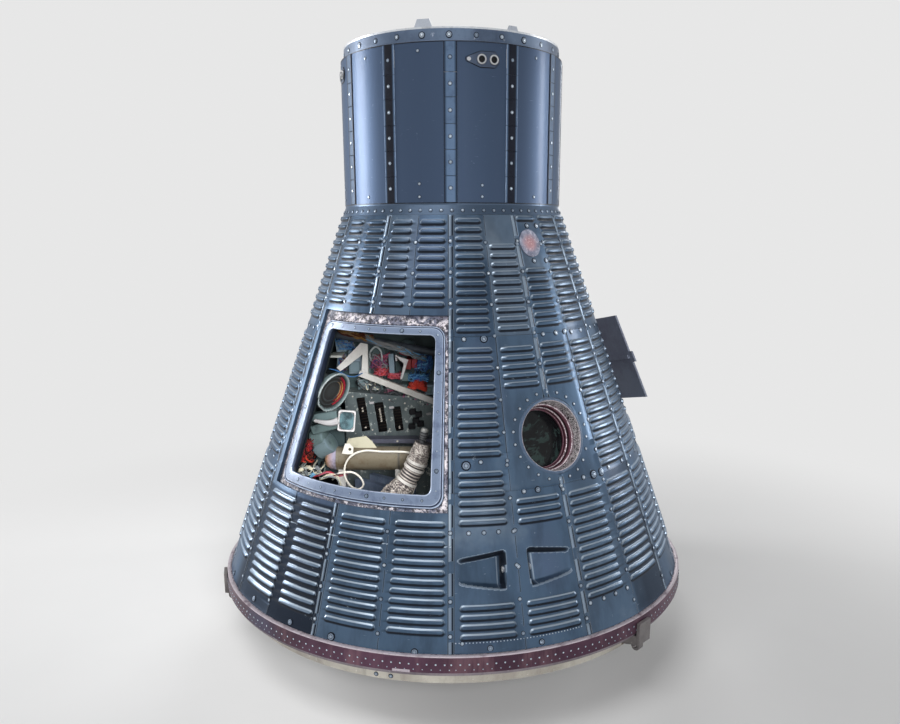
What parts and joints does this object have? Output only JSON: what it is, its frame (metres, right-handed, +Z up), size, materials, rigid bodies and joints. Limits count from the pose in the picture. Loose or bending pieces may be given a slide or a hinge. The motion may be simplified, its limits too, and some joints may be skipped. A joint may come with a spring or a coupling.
{
  "type": "space capsule",
  "caption": "Small conical re-entry capsule on its heat shield, with a cylindrical neck, beaded metal skin, open side hatch, portholes and a hinged periscope door.",
  "frame": {"origin": "lowest point of the heat shield, on the axis of symmetry", "axes": "+Z up the axis through the neck; -Y passes the panel seam beside the hatch; the hatch is on the -X -Y side and the periscope door at +X"},
  "size_m": [1.8918, 1.8918, 2.3283],
  "materials": {
    "ablator": "charred and scorched resin",
    "bright_band": "worn bright metal",
    "dark_frame": "sooty dark metal",
    "maroon_metal": "heat-tinted maroon oxide",
    "lip_metal": "scuffed light metal",
    "fitting_metal": "machined steel, scuffed",
    "shingle": "blue-grey oxidised alloy, satin",
    "sill_metal": "pale blue-grey metal, worn",
    "port_metal": "pinkish oxidised metal",
    "glass": "clear dark glass",
    "oval_plate": "chalky pale oxide",
    "nozzle": "bare metal nozzle",
    "door_grey": "smooth grey metal",
    "well_metal": "bare sheet",
    "black_metal": "black anodised",
    "hinge_metal": "machined steel",
    "neck_metal": "blue-grey alloy, satin",
    "strip_metal": "blue-grey alloy, satin",
    "ring_metal": "grey-blue alloy with a bright edge",
    "tab_metal": "bare sheet",
    "inner_metal": "primed sheet",
    "floor_metal": "grey paint",
    "console_grey": "speckled grey-green paint",
    "white_paint": "chipped white paint",
    "duct_grey": "grey paint",
    "tank_tan": "tan paint",
    "rail_blue": "blue-grey paint",
    "drum": "white-rimmed housing",
    "mirror_face": "white frame round a mirror",
    "hose": "silvery ribbed hose"
  },
  "bodies": {
    "capsule": {"heat_shield": "ablator", "edge_band": "bright_band", "aft_frame": "dark_frame", "aft_ring": "maroon_metal", "ring_lip": "lip_metal", "strap_fittings": "fitting_metal", "wall_lower": "shingle", "wall_middle": "shingle", "wall_upper": "shingle", "neck_ring": "shingle", "hatch_frame": "sill_metal", "porthole_rings": "port_metal", "porthole_glass": "glass", "oval_cover": "oval_plate", "roll_nozzles": "nozzle", "periscope_well": "well_metal", "periscope": "black_metal", "door_hinges": "hinge_metal", "neck_panels": "neck_metal", "joint_strips": "strip_metal", "thruster_plates": "nozzle", "top_ring": "ring_metal", "ring_tabs": "tab_metal", "recovery_deck": "inner_metal", "recovery_divider": "inner_metal", "forward_bulkhead": "inner_metal", "cabin_floor": "floor_metal", "instrument_console": "console_grey", "console_ledge": "console_grey", "upper_duct": "duct_grey", "cross_beam": "white_paint", "v_strut": "white_paint", "oxygen_tank": "tank_tan", "tank_stands": "white_paint", "equipment_rails": "rail_blue", "dial_drum": "drum", "mirror": "mirror_face", "suit_hose": "hose", "hand_controller": "black_metal"},
    "door": {"periscope_door": "door_grey"}
  },
  "joints": [
    {"name": "door_hinge", "type": "hinge", "parent": "capsule", "child": "door", "pos_m": [0.64289, 0.08464, 1.11974], "axis": [-0.3391, -0.0446, 0.9397], "range_deg": [-36, 60]}
  ]
}
